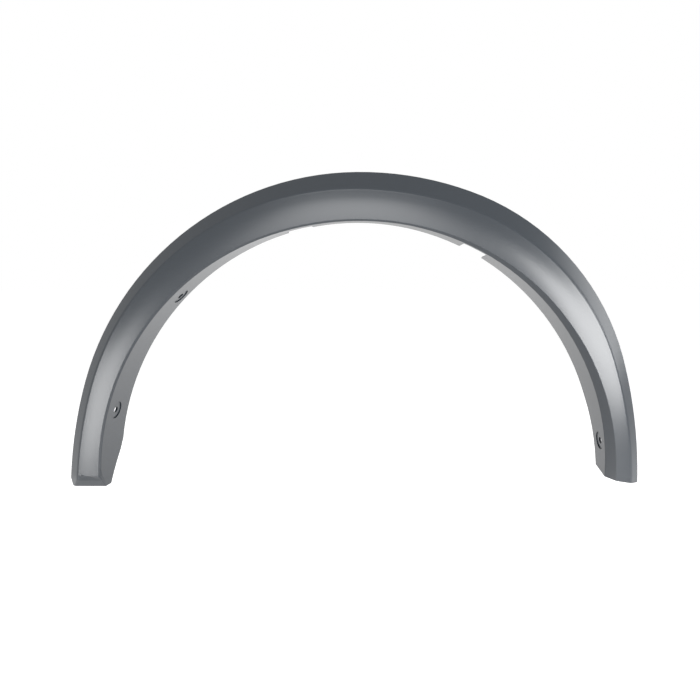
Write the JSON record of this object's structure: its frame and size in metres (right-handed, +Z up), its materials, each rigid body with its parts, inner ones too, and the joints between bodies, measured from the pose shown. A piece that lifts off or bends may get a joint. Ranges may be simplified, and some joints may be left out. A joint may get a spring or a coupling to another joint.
{
  "type": "wheel arch trim",
  "caption": "Moulded plastic trim that frames a vehicle's wheel opening: a crowned face with an outer chamfer and a return flange that is notched and drilled for screws.",
  "frame": {"origin": "middle of the bounding box in length and depth, at the height of the left leg's end", "axes": "+X along the vehicle's length, from the left leg to the right leg; +Y from the face inboard to the flange's back edge; +Z up"},
  "size_m": [0.8564, 0.064, 0.4727],
  "materials": {
    "trim_plastic": "satin, finely grained dark grey"
  },
  "bodies": {
    "root": {"arch_trim": "trim_plastic"}
  },
  "joints": []
}
